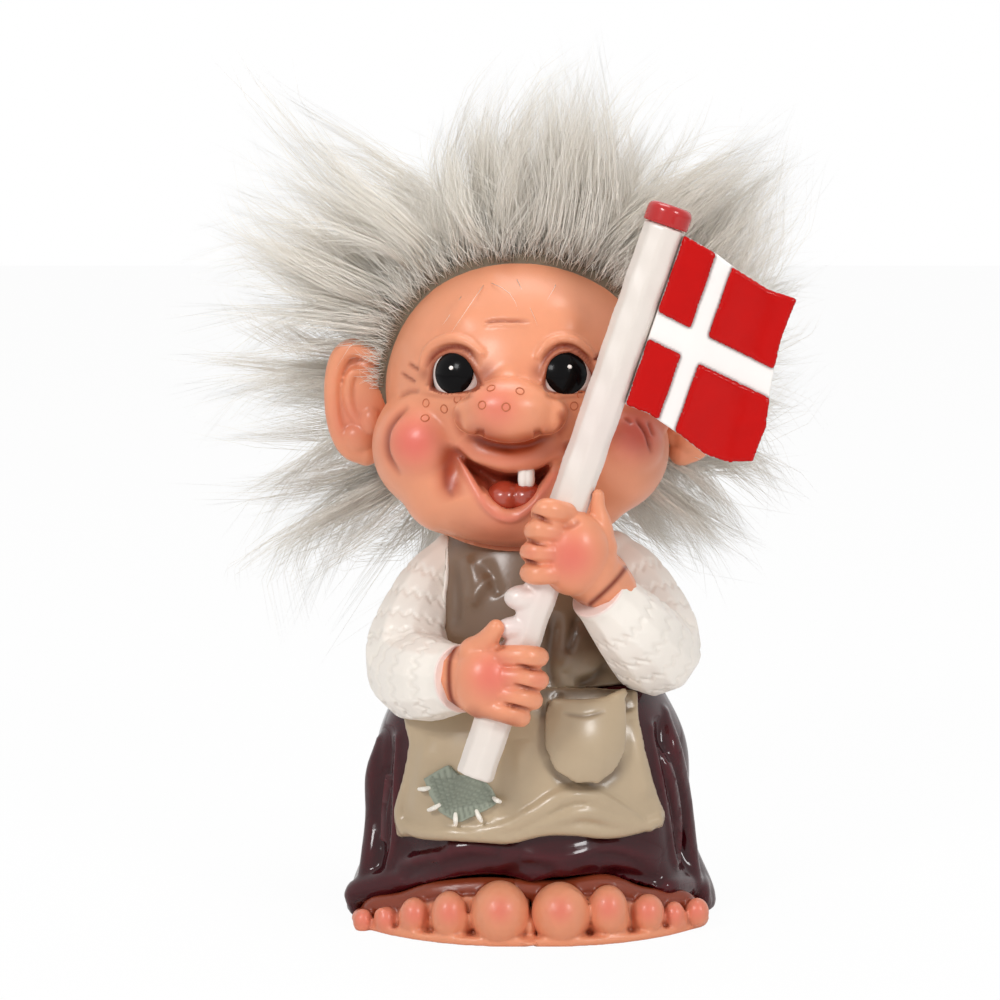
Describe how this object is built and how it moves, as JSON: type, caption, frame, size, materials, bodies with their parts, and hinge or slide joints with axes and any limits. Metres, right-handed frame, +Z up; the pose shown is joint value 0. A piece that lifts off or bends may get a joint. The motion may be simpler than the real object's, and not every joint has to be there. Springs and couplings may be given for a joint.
{
  "type": "norwegian troll figure",
  "caption": "Free-standing painted troll figurine with furry hair, knitted blouse and pinafore apron, holding a flag on a slanting staff in both fists.",
  "frame": {"origin": "on the flat sole, at the middle of the figure's width, under the neck", "axes": "+Z up; the figure looks along -Y; +X is the figure's left, where the flag flies"},
  "size_m": [0.0979, 0.082, 0.1418],
  "materials": {
    "skin_paint": "satin hand-painted skin over cast resin, with a brown wash in the creases",
    "blouse_paint": "satin off-white paint over cast knit relief",
    "apron_paint": "satin taupe paint",
    "patch_paint": "matte grey-green paint over woven relief",
    "stitch_paint": "matte cream thread relief",
    "skirt_paint": "high gloss dark burgundy paint",
    "staff_paint": "glossy off-white paint",
    "cap_paint": "glossy red-brown paint",
    "flag_white": "glossy white paint",
    "flag_red": "glossy bright red paint",
    "eye_white": "glossy white",
    "eye_black": "high gloss black",
    "tooth_white": "glossy white",
    "tongue_paint": "satin rose paint",
    "pelt": "soft hide under the fur",
    "fur": "long soft fur, dark at the roots and pale at the tips"
  },
  "bodies": {
    "root": {"skirt": "skirt_paint", "right_foot": "skin_paint", "left_foot": "skin_paint", "torso": "blouse_paint", "apron": "apron_paint", "apron_bib": "apron_paint", "apron_pocket": "apron_paint", "apron_patch": "patch_paint", "patch_stitches": "stitch_paint", "flagstaff": "staff_paint", "staff_cap": "cap_paint", "flag_cloth": "flag_white", "flag_fields": "flag_red", "right_hand": "skin_paint", "left_hand": "skin_paint", "right_sleeve": "blouse_paint", "left_sleeve": "blouse_paint", "head": "skin_paint", "tooth": "tooth_white", "tongue": "tongue_paint", "right_eyeball": "eye_white", "left_eyeball": "eye_white", "right_iris": "eye_black", "left_iris": "eye_black", "right_ear": "skin_paint", "left_ear": "skin_paint", "fur_pelt": "pelt", "fur": "fur"}
  },
  "joints": []
}
